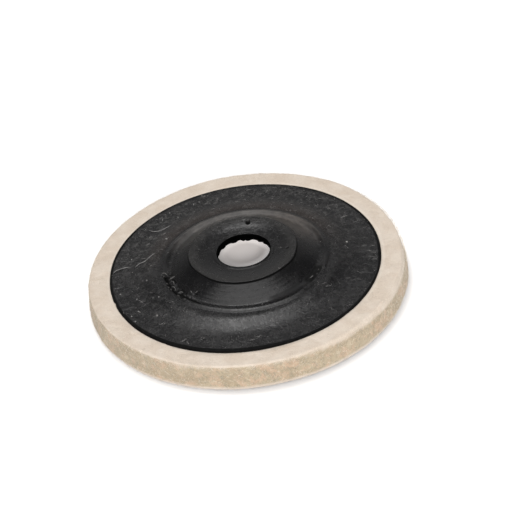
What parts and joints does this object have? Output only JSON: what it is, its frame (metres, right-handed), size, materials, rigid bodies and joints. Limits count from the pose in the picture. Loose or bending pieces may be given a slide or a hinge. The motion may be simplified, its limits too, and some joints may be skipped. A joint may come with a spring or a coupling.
{
  "type": "felt polishing wheel",
  "caption": "Pressed wool felt ring bonded to a black nylon backing plate with a raised dished hub and a plain bore, for polishing on a small angle grinder.",
  "frame": {"origin": "on the bore axis, level with the bore's rear rim (the lip that seats on the grinder's flange)", "axes": "+Z along the bore axis towards the grinder; the felt's working face looks along -Z; X and Y are free because the wheel is round"},
  "size_m": [0.1003, 0.1002, 0.0152],
  "materials": {
    "black_nylon": "moulded satin with a faint grain",
    "adhesive": "dull, slightly translucent contact adhesive",
    "wool_felt": "dense pressed wool felt, matt and slightly fuzzy"
  },
  "bodies": {
    "root": {"backing_plate": "black_nylon", "adhesive_layer": "adhesive", "felt_ring": "wool_felt"}
  },
  "joints": []
}
